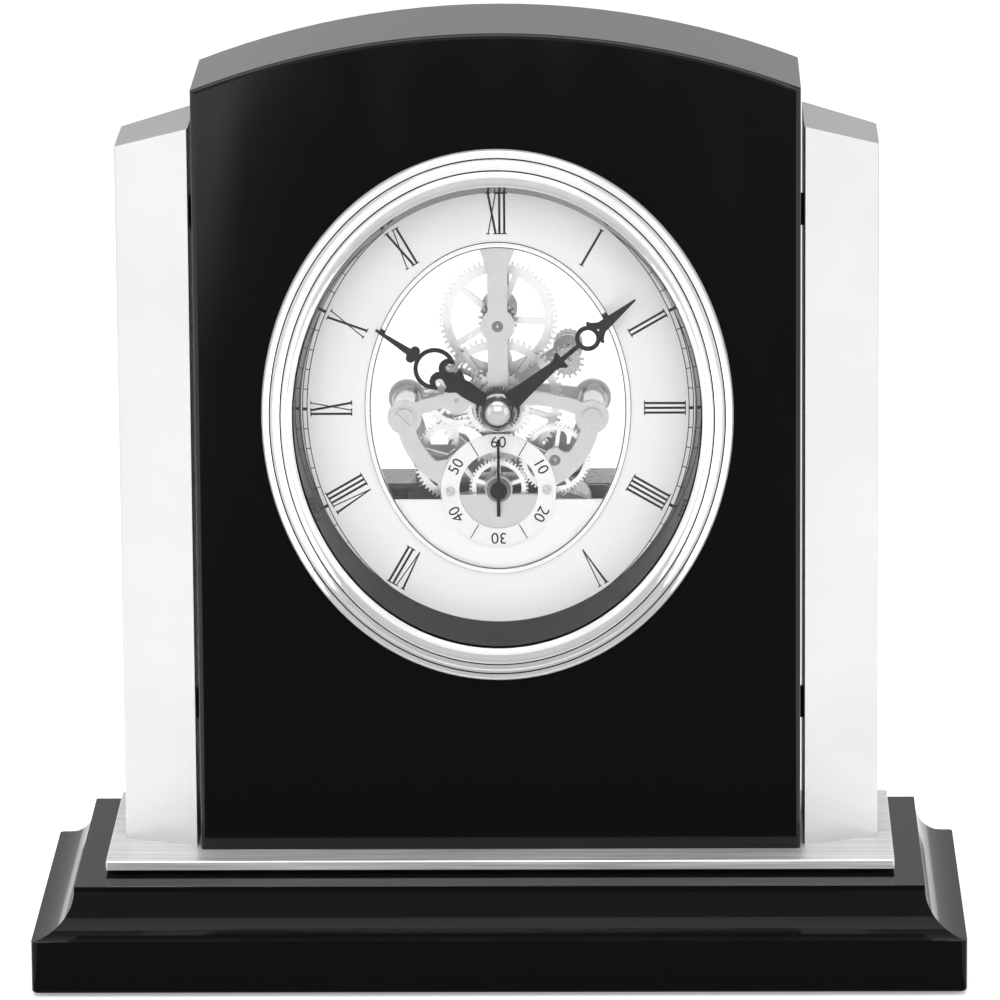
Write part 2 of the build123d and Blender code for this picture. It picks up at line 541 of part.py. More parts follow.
bridge = bar(STANDOFFS[2], STEP, 3.6) + bar(STEP, ROTOR, 3.6) + bar(ROTOR, STANDOFFS[1], 3.6)
bridge = drill(bridge, [(0.45, STEP), (0.35, ROTOR)])
write(slab(bridge, BRIDGE_Y, BRIDGE_T), "motor_bridge")
carrier = Pos(3.5, -31.5) * RectangleRounded(50, 19, 3)
carrier = drill(carrier, [(0.45, STEP), (0.35, ROTOR)])
carrier = slab(carrier, CARRIER_Y, CARRIER_T)
for place in STANDOFFS[1:]:
    carrier += rod(1.5, BRIDGE_Y + BRIDGE_T, CARRIER_Y, place)
carrier += rod(1.5, STATOR_Y + STATOR_T, CARRIER_Y, STANDOFFS[0]) + rod(0.7, STATOR_Y - 0.8, CARRIER_Y, STANDOFFS[0])
BOX_Y, BOX_BACK = 5.0, 21.8
for x in (-12, 18):
    carrier += rod(2.0, CARRIER_Y + CARRIER_T, BOX_Y, (x, -32))
write(carrier, "motor_carrier")

# --- battery box with its cell, contacts and circuit board ---
CELL_R, CELL_L = 7.1, 49.2
CELL_Y, CELL_Z = 13.4, -30.6
BOX_HALF, BOX_TOP, BOX_LOW, WALL = 31.0, -22.2, -39.0, 1.2
box = block(-BOX_HALF, BOX_HALF, BOX_Y, BOX_BACK, CZ + BOX_LOW, CZ + BOX_TOP)
box -= block(-BOX_HALF + WALL, BOX_HALF - WALL, BOX_Y + WALL, BOX_BACK + 1, CZ + BOX_LOW + WALL, CZ + BOX_TOP - WALL)
for corner in REAR_CORNERS:
    tab = bar(corner, (corner[0], BOX_TOP - 0.5), 5.0)
    tab = (tab - disc(0.9, corner)) & (Pos(0, BOX_TOP - WALL + 20) * Rectangle(90, 40))
    box += slab(tab, REAR_BACK_Y, 1.4)
write(box, "battery_box")
cell = Pos(0, CELL_Y, CZ + CELL_Z) * Rot(0, 90, 0) * Cylinder(CELL_R, CELL_L)
cell = fillet(cell.edges().filter_by(GeomType.CIRCLE), 0.5)
cell += Pos(CELL_L / 2 + 0.5, CELL_Y, CZ + CELL_Z) * Rot(0, 90, 0) * Cylinder(2.6, 1.2)
write(cell, "battery")


def contact(side, reach):
    """A leaf on the end wall of the box with a bump that presses on the cell."""
    wall_x = side * (BOX_HALF - WALL)
    leaf = Pos(wall_x - side * 0.2, CELL_Y, CZ + CELL_Z) * Box(0.4, 9.0, 11.0)
    length = abs(wall_x) - 0.4 - reach
    bump = Pos(side * (reach + length / 2), CELL_Y, CZ + CELL_Z) * Rot(0, side * -90, 0)
    return leaf + bump * Cone(3.4, 2.2, length)


write(group([contact(-1, CELL_L / 2), contact(1, CELL_L / 2 + 1.1)], "battery_contacts"), "battery_contacts")
board = block(-30, -22.8, 4.0, BOX_Y, CZ - 38.5, CZ - 23.5)
board += block(-28.6, -24.4, 2.8, 4.0, CZ - 29.6, CZ - 25.2)
board += Pos(-26.4, 2.8, CZ - 34.6) * Cylinder(1.2, 6.0)
write(board, "circuit_board")

# --- setting knob ---
setting_arbor = rod(1.0, PLATE_BACK_Y + 4.0, REAR_Y - END_PLAY, SETTING)
setting_arbor += rod(1.2, REAR_Y - END_PLAY, 17.4, SETTING) + rod(0.8, 17.4, 20.5, SETTING)
setting_arbor += slab(pinion(Z_SETTING, M_CENTRE, setting_phase), LAYER_D, LAYER_T, SETTING)
write(setting_arbor, "setting_arbor")
write(slab(gear(18, 0.4, 0, 0.5, 0.3, 0.3) - disc(0.8), 17.4, 5.0, SETTING), "setting_knob")


# --- hands: flat outlines pointing up, then turned to the time ---
def both_sides(*points):
    """A closed outline from the points of its right half, lowest first."""
    return make_face(Polyline(*points, *[(-x, y) for x, y in reversed(points)], close=True))


def hour_shape():
    blade = both_sides((1.3, 2.4), (1.9, 6.4), (2.1, 9.4), (1.95, 11.0), (3.2, 12.7), (3.4, 13.6), (1.05, 13.9),
                       (1.0, 17.4))
    ring_at, notch_at = (0, 18.7), 2.25
    ring = disc(5.2, ring_at) - disc(4.15, ring_at)
    ring -= make_face(Polyline(ring_at, (-7.0, 13.0), (7.0, 13.0), close=True))
    anchor = (disc(2.45, (2.0, 15.9)) + disc(2.45, (-2.0, 15.9))) & disc(5.2, ring_at)
    for side in (-1, 1):
        anchor -= bar((side * notch_at, 15.7), (side * 4.6, 12.0), 2.1)
    bulb = disc(1.2, (1.0, 25.1)) + disc(1.2, (-1.0, 25.1)) + disc(1.3, (0, 24.6))
    tip = both_sides((0.95, 25.4), (0.62, 30.5), (0.32, 35.8))
    return disc(3.4) + blade + ring + anchor + bulb + tip + disc(0.36, (0, 35.8))


def minute_shape():
    blade = both_sides((2.6, 2.0), (2.4, 5.0), (1.9, 9.0), (1.15, 17.6), (1.3, 18.8), (2.2, 20.0), (2.35, 20.6),
                       (0.6, 20.7), (0.5, 26.4))
    ring = disc(3.15, (0, 28.8)) - disc(2.05, (0, 28.8))
    head = both_sides((2.2, 30.6), (3.1, 30.7), (3.4, 31.3), (2.5, 31.8), (1.5, 33.2), (1.3, 34.9), (0.2, 43.9))
    head -= both_sides((1.75, 29.9), (1.1, 31.0), (0.1, 32.3)) + disc(2.05, (0, 28.8))
    return disc(3.2) + blade + ring + head


HOUR_HAND_Y, MINUTE_HAND_Y, HAND_T = -12.7, -13.8, 0.4
hour_hand = (Rot(0, 0, -HOUR_ANGLE) * hour_shape()) - disc(CANNON_R + RUN)
write(slab(hour_hand, HOUR_HAND_Y, HAND_T), "hour_hand")
minute_hand = (Rot(0, 0, -MINUTE_ANGLE) * minute_shape()) - disc(1.2)
write(slab(minute_hand, MINUTE_HAND_Y - HAND_T, HAND_T), "minute_hand")
NUT_R = 4.7
NUT_BACK = MINUTE_HAND_Y - HAND_T
nut = Pos(0, NUT_BACK - 0.6, CZ) * Sphere(NUT_R) & block(-9, 9, NUT_BACK - 9, NUT_BACK, CZ - 9, CZ + 9)
write(nut - rod(1.2, CANNON_FRONT, NUT_BACK + 1), "hand_nut")
seconds_hand = make_face(Polyline((-0.45, -6.4), (-0.3, 13.0), (0.3, 13.0), (0.45, -6.4), close=True)) + disc(2.1)
seconds_solid = slab(seconds_hand, -11.2, 0.4, SECONDS) + rod(1.5, -11.7, -11.2, SECONDS)
write(seconds_solid - rod(PIVOT_R, -11.6, -10.0, SECONDS), "seconds_hand")

# --- hinged rear door with a clear window ---
DOOR_GAP, DOOR_T = 0.3, 3.2
DOOR_HALF, DOOR_HALF_H = 60.0, 67.0
HINGE_X, HINGE_Y = 63.0, CASE_BACK + 2.2
HINGE_R, PIN_R = 2.0, 0.8
DOOR_Y = CASE_BACK + DOOR_GAP
door_outline = RectangleRounded(2 * DOOR_HALF, 2 * DOOR_HALF_H, 6) - oval(TUNNEL, -2.0)
door = slab(door_outline, DOOR_Y, DOOR_T)
door -= slab(oval(TUNNEL, 1.0), DOOR_Y, 1.6)
KNUCKLES = [-50.0, 50.0]
KNUCKLE_L = 6.0
fixed = []
for height in KNUCKLES:
    z = CZ + height
    moving = upright(HINGE_R, z - KNUCKLE_L / 2, z + KNUCKLE_L / 2, HINGE_X, HINGE_Y)
    moving += block(DOOR_HALF - 1, HINGE_X, HINGE_Y - 0.9, HINGE_Y + 0.9, z - KNUCKLE_L / 2, z + KNUCKLE_L / 2)
    door += moving
    door -= upright(PIN_R + RUN, z - KNUCKLE_L, z + KNUCKLE_L, HINGE_X, HINGE_Y)
    low, high = z - KNUCKLE_L / 2 - 0.3, z + KNUCKLE_L / 2 + 0.3
    hinge = upright(PIN_R, low - 4, high + 4, HINGE_X, HINGE_Y)
    for end in (low - 2, high + 2):
        hinge += upright(HINGE_R, end - 2, end + 2, HINGE_X, HINGE_Y)
        hinge += block(HINGE_X + 0.4, HINGE_X + 7, CASE_BACK, CASE_BACK + 1.0, end - 2, end + 2)
        hinge += block(HINGE_X, HINGE_X + 2.0, CASE_BACK, HINGE_Y, end - 2, end + 2)
    hinge += block(HINGE_X + 2.6, HINGE_X + 7, CASE_BACK, CASE_BACK + 1.0, low - 4, high + 4)
    fixed.append(hinge)
write(door, "rear_door")
write(group(fixed, "door_hinges"), "door_hinges")
write(slab(oval(TUNNEL, 0.9), DOOR_Y, 1.5), "rear_window")
knob = Pos(-DOOR_HALF + 5.5, DOOR_Y + DOOR_T + 2.5, CZ) * Rot(90, 0, 0) * Cylinder(3.0, 5.0)
write(knob, "door_pull")
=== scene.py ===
# %% [markdown]
# # A skeleton mantel clock, finished in Blender
#
# The clock's solid parts come from its CAD model, already in metres and already in their places.
# Blender's work here is the finish of every surface, the printed numerals and tracks of the dial,
# and a studio that shows black lacquer, satin silver and polished chrome for what they are.

# %% Load the clock
import json
import math

import bmesh
import bpy
from mathutils import Matrix, Vector

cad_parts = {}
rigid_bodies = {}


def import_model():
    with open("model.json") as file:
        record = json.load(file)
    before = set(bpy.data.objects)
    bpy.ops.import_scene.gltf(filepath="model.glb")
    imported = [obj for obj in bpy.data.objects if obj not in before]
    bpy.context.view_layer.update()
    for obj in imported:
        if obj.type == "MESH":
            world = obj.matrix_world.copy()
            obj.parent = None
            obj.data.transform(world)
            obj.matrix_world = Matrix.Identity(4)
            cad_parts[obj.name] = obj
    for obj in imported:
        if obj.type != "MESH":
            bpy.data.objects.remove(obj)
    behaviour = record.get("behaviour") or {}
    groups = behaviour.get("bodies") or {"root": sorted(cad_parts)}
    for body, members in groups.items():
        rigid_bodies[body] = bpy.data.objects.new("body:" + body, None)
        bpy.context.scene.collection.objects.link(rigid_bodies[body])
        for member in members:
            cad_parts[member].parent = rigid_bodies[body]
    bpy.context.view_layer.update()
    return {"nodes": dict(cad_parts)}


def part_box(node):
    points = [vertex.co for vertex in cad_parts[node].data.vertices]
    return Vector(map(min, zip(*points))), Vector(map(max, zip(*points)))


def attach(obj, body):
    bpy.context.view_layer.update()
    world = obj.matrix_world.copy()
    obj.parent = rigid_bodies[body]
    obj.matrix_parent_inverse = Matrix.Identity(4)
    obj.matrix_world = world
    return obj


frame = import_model()
MM = 0.001

# %% [markdown]
# ## Where things are
#
# Every printed mark is placed from the parts it is printed on. The hand centre is the middle of the
# minute arbor, the numerals sit on the front face of the dial ring, and the seconds scale is centred
# on its own small dial. Reading these from the frame keeps the print on the metal if the metal moves.

# %% Measure the dial
def middle(box):
    return (Vector(box[0]) + Vector(box[1])) / 2


hand_centre = middle(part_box("centre_wheel"))
CX, CZ = hand_centre.x, hand_centre.z
DIAL_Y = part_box("dial_ring")[0][1]
small_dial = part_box("seconds_dial")
SECONDS_AT = middle(small_dial)
SECONDS_Y = small_dial[0][1]
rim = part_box("inner_rim")
RIM_W, RIM_H = (rim[1][0] - rim[0][0]) / 2, (rim[1][2] - rim[0][2]) / 2
print("hand centre", round(CX, 4), round(CZ, 4), "dial face", round(DIAL_Y, 4))


# %% [markdown]
# ## Finishes
#
# A finish is more than a colour. Lacquer has a soft ripple under a mirror coat, brushed steel has
# thousands of fine lines that all run one way, cast and milled faces have a grain. Each material
# below starts from one small helper that makes a Principled surface, and then adds its own pattern,
# read from Object coordinates so that it stays fixed to the metal when the clock turns.

# %% A helper for materials
def finish_of(name, colour, rough, metal=0.0, **sockets):
    material = bpy.data.materials.new(name)
    material.use_nodes = True
    nodes, links = material.node_tree.nodes, material.node_tree.links
    shader = nodes["Principled BSDF"]
    shader.inputs["Base Color"].default_value = (*colour, 1)
    shader.inputs["Roughness"].default_value = rough
    shader.inputs["Metallic"].default_value = metal
    for socket, value in sockets.items():
        shader.inputs[socket.replace("_", " ")].default_value = value
    return material, nodes, links, shader


def pattern(nodes, links, scale, detail=4.0, stretch=(1, 1, 1), kind="ShaderNodeTexNoise"):
    """A noise read from Object coordinates, stretched along the axes as asked."""
    where = nodes.new("ShaderNodeTexCoord")
    mapping = nodes.new("ShaderNodeMapping")
    mapping.inputs["Scale"].default_value = stretch
    noise = nodes.new(kind)
    noise.inputs["Scale"].default_value = scale
    if "Detail" in noise.inputs:
        noise.inputs["Detail"].default_value = detail
    links.new(where.outputs["Object"], mapping.inputs["Vector"])
    links.new(mapping.outputs["Vector"], noise.inputs["Vector"])
    return noise


def spread(nodes, links, source, low, high, target):
    """Turn a 0..1 pattern into a value between low and high and plug it in."""
    ramp = nodes.new("ShaderNodeMapRange")
    ramp.inputs["From Min"].default_value = 0.3
    ramp.inputs["From Max"].default_value = 0.7
    ramp.inputs["To Min"].default_value = low
    ramp.inputs["To Max"].default_value = high
    links.new(source, ramp.inputs["Value"])
    links.new(ramp.outputs["Result"], target)


def shade_between(nodes, links, source, dark, light, target):
    ramp = nodes.new("ShaderNodeValToRGB")
    ramp.color_ramp.elements[0].position = 0.3
    ramp.color_ramp.elements[1].position = 0.7
    ramp.color_ramp.elements[0].color = (*dark, 1)
    ramp.color_ramp.elements[1].color = (*light, 1)
    links.new(source, ramp.inputs["Fac"])
    links.new(ramp.outputs["Color"], target)


def bump(nodes, links, source, shader, strength, distance):
    relief = nodes.new("ShaderNodeBump")
    relief.inputs["Strength"].default_value = strength
    relief.inputs["Distance"].default_value = distance
    links.new(source, relief.inputs["Height"])
    links.new(relief.outputs["Normal"], shader.inputs["Normal"])


def dress(material, *names):
    """Give CAD nodes a finish by filling their material slots."""
    for name in names:
        slots = frame["nodes"][name].material_slots
        for slot in slots:
            slot.material = material
        if not slots:
            frame["nodes"][name].data.materials.append(material)


# %% [markdown]
# ### Piano lacquer
#
# The case and plinth are fibreboard under black polyester lacquer, sanded and buffed until it is a
# dark mirror. What tells lacquer from plastic is the faint long ripple left by buffing and a haze of
# hairline polishing marks, so the roughness and the surface both vary a little.

# %% Lacquer
def lacquer(name, shine, polish):
    material, nodes, links, shader = finish_of(
        name, (0.004, 0.004, 0.0043), polish, Specular_IOR_Level=shine)
    ripple = pattern(nodes, links, 9.0, 1.0)
    haze = pattern(nodes, links, 60.0, 6.0, (1, 1, 0.3))
    spread(nodes, links, haze.outputs["Fac"], polish * 0.7, polish * 1.4, shader.inputs["Roughness"])
    bump(nodes, links, ripple.outputs["Fac"], shader, 0.02, 0.002)
    return material


dress(lacquer("case_lacquer", 0.32, 0.07), "case_body")
dress(lacquer("plinth_lacquer", 0.1, 0.1), "plinth")
print("lacquered the plinth and the case")


# %% [markdown]
# ### Metals
#
# Five metals meet on this clock, and each has its own tool marks. The plate under the case is brushed
# from left to right. The pillars are finely bead blasted and anodised silver. The bezel and inner
# ring are mirror chrome, which has almost no pattern. The movement plates are stamped and satin
# finished, and the wheels are pale and lightly grained.

# %% Brushed and satin metals
def brushed(name, colour, rough, along, fineness=900.0, depth=0.25, contrast=0.12, metal=1.0):
    """Long fine lines: a noise squeezed across the brush and stretched along it."""
    material, nodes, links, shader = finish_of(name, colour, rough, metal)
    lines = pattern(nodes, links, fineness, 3.0, along)
    light = tuple(min(1, c * (1 + contrast)) for c in colour)
    dark = tuple(c * (1 - contrast) for c in colour)
    shade_between(nodes, links, lines.outputs["Fac"], dark, light, shader.inputs["Base Color"])
    spread(nodes, links, lines.outputs["Fac"], rough * 0.75, rough * 1.3, shader.inputs["Roughness"])
    bump(nodes, links, lines.outputs["Fac"], shader, depth, 0.00004)
    return material


def satin(name, colour, rough, grain=1500.0, depth=0.12, metal=1.0):
    """Bead blasted metal: an even, very fine grain."""
    material, nodes, links, shader = finish_of(name, colour, rough, metal)
    grains = pattern(nodes, links, grain, 2.0)
    cloud = pattern(nodes, links, 25.0, 2.0)
    light = tuple(min(1, c * 1.03) for c in colour)
    dark = tuple(c * 0.97 for c in colour)
    shade_between(nodes, links, cloud.outputs["Fac"], dark, light, shader.inputs["Base Color"])
    spread(nodes, links, grains.outputs["Fac"], rough * 0.85, rough * 1.15, shader.inputs["Roughness"])
    bump(nodes, links, grains.outputs["Fac"], shader, depth, 0.00003)
    return material


def polished(name, colour, rough, metal=1.0):
    material, nodes, links, shader = finish_of(name, colour, rough, metal)
    marks = pattern(nodes, links, 400.0, 4.0)
    spread(nodes, links, marks.outputs["Fac"], rough * 0.6, rough * 1.6, shader.inputs["Roughness"])
    return material


plate_metal = brushed("brushed_plate", (0.84, 0.84, 0.84), 0.42, (0.02, 1, 1), 1400.0, 0.4, 0.18, 0.7)
pillar_metal = satin("anodised_silver", (0.61, 0.61, 0.615), 0.34)
chrome = polished("bezel_chrome", (0.95, 0.95, 0.955), 0.1, 0.6)
ring_chrome = polished("inner_ring_chrome", (0.6, 0.6, 0.61), 0.1)
movement_metal = satin("stamped_plate", (0.5, 0.5, 0.5), 0.4, 1200.0)
wheel_metal = brushed("pale_wheel", (0.7, 0.7, 0.69), 0.35, (1, 1, 0.1), 1500.0, 0.15, 0.05)
steel = brushed("turned_steel", (0.33, 0.33, 0.33), 0.25, (1, 0.05, 1), 1800.0)
screw_metal = polished("polished_screw", (0.4, 0.4, 0.41), 0.14)
pivot_metal = satin("dull_pivot", (0.16, 0.16, 0.16), 0.4)
nut_metal = satin("satin_nut", (0.42, 0.42, 0.42), 0.17, 2500.0, 0.05)
zinc = satin("zinc_screw", (0.55, 0.55, 0.54), 0.4)
iron = satin("stator_iron", (0.22, 0.22, 0.23), 0.35)
dress(plate_metal, "base_plate")
dress(pillar_metal, "pillar_left", "pillar_right")
dress(chrome, "bezel")
dress(ring_chrome, "inner_rim")
dress(movement_metal, "front_plate", "rear_plate")
dress(wheel_metal, "centre_wheel", "display_wheel", "third_wheel", "seconds_wheel", "idler_wheel",
      "motion_wheel", "hour_wheel")
dress(steel, "centre_arbor", "display_arbor", "third_arbor", "seconds_arbor", "idler_arbor",
      "setting_arbor", "motion_stud")
dress(screw_metal, "plate_screws", "rear_screws", "seconds_dial_screws", "plate_posts")
dress(pivot_metal, "pivot_bushings")
dress(nut_metal, "hand_nut")
dress(zinc, "case_screws", "pillar_screws", "door_hinges", "battery_contacts")
dress(iron, "stator")
print("finished the metals")


# %% [markdown]
# ### Dial silver
#
# The chapter ring and the cover below the movement are silvered metal under a clear matt lacquer:
# nearly white, with a soft sheen rather than a reflection, and a very faint vertical grain.

# %% Dial
def silvered(name, colour, rough):
    material, nodes, links, shader = finish_of(name, colour, rough, 0.06, Specular_IOR_Level=0.3)
    grain = pattern(nodes, links, 1600.0, 2.0, (1, 1, 0.05))
    light = tuple(min(1, c * 1.01) for c in colour)
    dark = tuple(c * 0.99 for c in colour)
    shade_between(nodes, links, grain.outputs["Fac"], dark, light, shader.inputs["Base Color"])
    bump(nodes, links, grain.outputs["Fac"], shader, 0.08, 0.00003)
    return material


dial_silver = silvered("silvered_dial", (0.92, 0.92, 0.92), 0.42)
seconds_white = silvered("seconds_ground", (0.9, 0.9, 0.9), 0.5)
dress(dial_silver, "dial_ring", "mask_plate")
dress(seconds_white, "seconds_dial")
print("silvered the dials")


# %% [markdown]
# ### Plastics, felt, board and cell
#
# Moulded parts have a fine spark-eroded texture, felt has fibres, and enamelled copper wire is wound
# round the bobbin, each turn shown as a close ring: painted shade where one turn meets the next, and a
# painted highlight along each turn. They are small or half hidden, but they are what the eye finds
# through the open movement and at the back.

# %% Plastics and small parts
def moulded(name, colour, rough, texture=700.0, depth=0.25, shine=0.4):
    material, nodes, links, shader = finish_of(name, colour, rough, Specular_IOR_Level=shine)
    spark = pattern(nodes, links, texture, 5.0)
    light = tuple(min(1, c * 1.15) for c in colour)
    dark = tuple(c * 0.85 for c in colour)
    shade_between(nodes, links, spark.outputs["Fac"], dark, light, shader.inputs["Base Color"])
    spread(nodes, links, spark.outputs["Fac"], rough * 0.8, rough * 1.25, shader.inputs["Roughness"])
    bump(nodes, links, spark.outputs["Fac"], shader, depth, 0.00006)
    return material


def felt():
    material, nodes, links, shader = finish_of("black_felt", (0.02, 0.02, 0.02), 0.95, Sheen_Weight=0.5)
    fibres = pattern(nodes, links, 1800.0, 8.0)
    shade_between(nodes, links, fibres.outputs["Fac"], (0.008, 0.008, 0.008), (0.05, 0.05, 0.05),
                  shader.inputs["Base Color"])
    bump(nodes, links, fibres.outputs["Fac"], shader, 0.9, 0.0003)
    return material


def wound_wire():
    material, nodes, links, shader = finish_of("copper_winding", (0.55, 0.2, 0.07), 0.3, 0.9)
    where = nodes.new("ShaderNodeTexCoord")
    turn_shade_rings = nodes.new("ShaderNodeTexWave")
    turn_shade_rings.inputs["Scale"].default_value = 1100.0
    links.new(where.outputs["Object"], turn_shade_rings.inputs["Vector"])
    # painted shade and painted highlight: the copper colour runs dark where one turn meets the next and light
    # along each turn
    shade_between(nodes, links, turn_shade_rings.outputs["Fac"], (0.22, 0.06, 0.02), (0.72, 0.3, 0.11),
                  shader.inputs["Base Color"])
    bump(nodes, links, turn_shade_rings.outputs["Fac"], shader, 0.6, 0.0001)
    return material


def clear_pane(name, rough, tint):
    material, nodes, links, shader = finish_of(name, tint, rough, IOR=1.45, Transmission_Weight=1.0)
    smears = pattern(nodes, links, 30.0, 3.0)
    spread(nodes, links, smears.outputs["Fac"], rough, rough + 0.01, shader.inputs["Roughness"])
    return material


hand_black = moulded("hand_black", (0.001, 0.001, 0.001), 0.5, 1500.0, 0.08, 0.01)
black_plastic = moulded("black_plastic", (0.012, 0.012, 0.012), 0.4)
box_plastic = moulded("battery_box_grey", (0.13, 0.13, 0.135), 0.3)
motor_plastic = moulded("motor_plastic", (0.09, 0.09, 0.095), 0.4)
pale_plastic = moulded("pale_nylon", (0.75, 0.75, 0.72), 0.35)
rubber_black = moulded("black_rubber", (0.01, 0.01, 0.01), 0.75, 1200.0, 0.3)
door_black = moulded("door_satin_black", (0.01, 0.01, 0.0105), 0.3, 500.0, 0.1)
board_green = moulded("circuit_board", (0.008, 0.03, 0.014), 0.3, 1600.0, 0.2)
jacket = moulded("cell_jacket", (0.02, 0.06, 0.2), 0.22, 300.0, 0.03)
gloss_black = moulded("gloss_black_wall", (0.002, 0.002, 0.002), 0.06, 300.0, 0.02, 0.06)
dress(gloss_black, "rehaut")
dress(hand_black, "hour_hand", "minute_hand", "seconds_hand")
dress(black_plastic, "hour_collet", "dial_carrier", "door_pull", "plate_spacer")
dress(box_plastic, "battery_box")
dress(motor_plastic, "motor_bridge", "motor_carrier")
dress(pale_plastic, "step_wheel", "rotor", "setting_knob")
dress(rubber_black, "pillar_spacers", "glass_gasket")
dress(door_black, "rear_door")
dress(board_green, "circuit_board")
dress(jacket, "battery")
dress(felt(), "felt_feet")
dress(wound_wire(), "coil")
dress(clear_pane("mineral_glass", 0.0, (1, 1, 1)), "glass")
dress(clear_pane("acrylic_window", 0.01, (0.99, 1, 1)), "rear_window")
print("finished plastics, felt, wire and panes")


# %% [markdown]
# ## Printed marks
#
# Numerals on such a dial are pad printed: a thin, slightly raised layer of black ink. Each mark could
# be a picture laid on the dial, but then it would blur close up, so here it is real geometry a
# twentieth of a millimetre thick. A print is drawn flat in edit mode from planes and circles, pushed
# to its face, and given its thickness by a Solidify modifier.

# %% Ink
INK_T = 0.00005
ink = moulded("dial_ink", (0.001, 0.001, 0.001), 0.6, 2000.0, 0.05, 0.02)


def open_print(name):
    """Start an empty mesh and leave it in edit mode, ready for strokes and bands."""
    bpy.ops.object.select_all(action="DESELECT")
    bpy.ops.mesh.primitive_plane_add(size=MM)
    bpy.context.object.name = name
    bpy.ops.object.mode_set(mode="EDIT")
    bpy.ops.mesh.select_all(action="SELECT")
    bpy.ops.mesh.delete(type="VERT")
    return bpy.context.object


def close_print(sheet, face_y, material, body="case"):
    """Lay the flat drawing on a face at this depth, give it thickness and let it ride."""
    bpy.ops.mesh.select_all(action="SELECT")
    bpy.ops.transform.translate(value=(0, face_y - INK_T / 2, 0))
    bpy.ops.object.mode_set(mode="OBJECT")
    solid = sheet.modifiers.new("thickness", "SOLIDIFY")
    solid.thickness, solid.offset = INK_T, 0
    bpy.ops.object.modifier_apply(modifier=solid.name)
    bpy.ops.object.mode_set(mode="EDIT")
    bpy.ops.mesh.select_all(action="SELECT")
    bpy.ops.mesh.normals_make_consistent(inside=False)
    bpy.ops.object.mode_set(mode="OBJECT")
    sheet.data.materials.append(material)
    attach(sheet, body)
    return sheet


# %% [markdown]
# A stroke is one plane, stood upright, leaned over and placed between its two ends. A band starts as
# a circle of edges, is stretched to an oval, and its edges are extruded and scaled out a little.

# %% Strokes and bands
def narrow_foot(share):
    """Scale the lower end of the stroke just drawn, before it is leaned over."""
    flat = bmesh.from_edit_mesh(bpy.context.object.data)
    for vert in flat.verts:
        vert.select = vert.select and vert.co.z < 0
    flat.select_flush_mode()
    bmesh.update_edit_mesh(bpy.context.object.data)
    bpy.ops.transform.resize(value=(share, 1, 1), center_override=(0, 0, 0))
    bpy.ops.mesh.select_linked()


def stroke(low, high, width, foot_width=None):
    run = Vector(high) - Vector(low)
    middle = (Vector(high) + Vector(low)) / 2
    bpy.ops.mesh.select_all(action="DESELECT")
    bpy.ops.mesh.primitive_plane_add(size=1, location=(0, 0, 0), rotation=(math.pi / 2, 0, 0))
    bpy.ops.transform.resize(value=(width, 1, run.length), center_override=(0, 0, 0))
    if foot_width:
        narrow_foot(foot_width / width)
    bpy.ops.transform.rotate(value=-math.atan2(run.x, run.y), orient_axis="Y", center_override=(0, 0, 0))
    bpy.ops.transform.translate(value=(middle.x, 0, middle.y))


def band(axes, width, centre, steps=240):
    bpy.ops.mesh.select_all(action="DESELECT")
    bpy.ops.mesh.primitive_circle_add(vertices=steps, radius=1, rotation=(math.pi / 2, 0, 0))
    bpy.ops.transform.resize(value=(axes[0], 1, axes[1]), center_override=(0, 0, 0))
    bpy.ops.mesh.extrude_region_move()
    bpy.ops.transform.resize(value=(1 + width / axes[0], 1, 1 + width / axes[1]), center_override=(0, 0, 0))
    bpy.ops.mesh.select_linked()
    bpy.ops.transform.translate(value=(centre[0], 0, centre[1]))


def band_piece(name, axes, width, centre, face_y, material, steps=240):
    sheet = open_print(name)
    band(axes, width, centre, steps)
    return close_print(sheet, face_y, material)


# %% [markdown]
# ### Roman numerals
#
# Each letter is laid out in a box one numeral high. I is one thick stem, V and X pair a thick and a
# thin diagonal, and every free end carries a serif. The letters are condensed, so a IIII or VIII still
# fits between its neighbours. A numeral is drawn upright above the hand centre, at the place where
# XII stands, and then turned about the hand centre to its hour.

# %% Letters
HEIGHT, THICK, THIN, SERIF = 10.3 * MM, 0.56 * MM, 0.27 * MM, 0.26 * MM
WIDTHS = {"I": 1.2 * MM, "V": 2.5 * MM, "X": 2.5 * MM}
REACH = 0.95 * MM
WIDE_SERIF, NARROW_SERIF = 0.62 * MM, 0.45 * MM  # half of each serif's length


def serif(centre, level, half):
    stroke((centre - half, level), (centre + half, level), SERIF)


def letter(kind, left, foot):
    centre = left + WIDTHS[kind] / 2
    near, far, head = centre - REACH, centre + REACH, foot + HEIGHT
    low, high = foot + SERIF / 2, head - SERIF / 2
    if kind == "I":
        stroke((centre, foot), (centre, head), THICK)
        serif(centre, low, WIDE_SERIF)
        serif(centre, high, WIDE_SERIF)
        return
    serif(near, high, WIDE_SERIF)
    serif(far, high, NARROW_SERIF)
    if kind == "V":
        stroke((centre, foot), (near, head), THICK, THIN)
        stroke((centre, foot), (far, head), THIN)
    if kind == "X":
        stroke((far, foot), (near, head), THICK)
        stroke((near, foot), (far, head), THIN)
        serif(near, low, NARROW_SERIF)
        serif(far, low, WIDE_SERIF)


# %% [markdown]
# The dial's opening is an oval, so the numerals do not stand on a circle. Each foot is set on a
# smaller oval inside the opening, at the distance which that oval has in the hour's direction. There
# is no VI: the real dial has a printed word in its place, which is left out, so the place stays empty.

# %% Numerals round the oval
def oval_radius(axes, angle):
    """Distance from the hand centre to an oval, at an angle clockwise from twelve."""
    return 1 / math.hypot(math.sin(angle) / axes[0], math.cos(angle) / axes[1])


def swing(angle):
    """Turn everything drawn so far clockwise about the hand centre."""
    bpy.ops.mesh.select_all(action="SELECT")
    bpy.ops.transform.rotate(value=-angle, orient_axis="Y", center_override=(CX, 0, CZ))


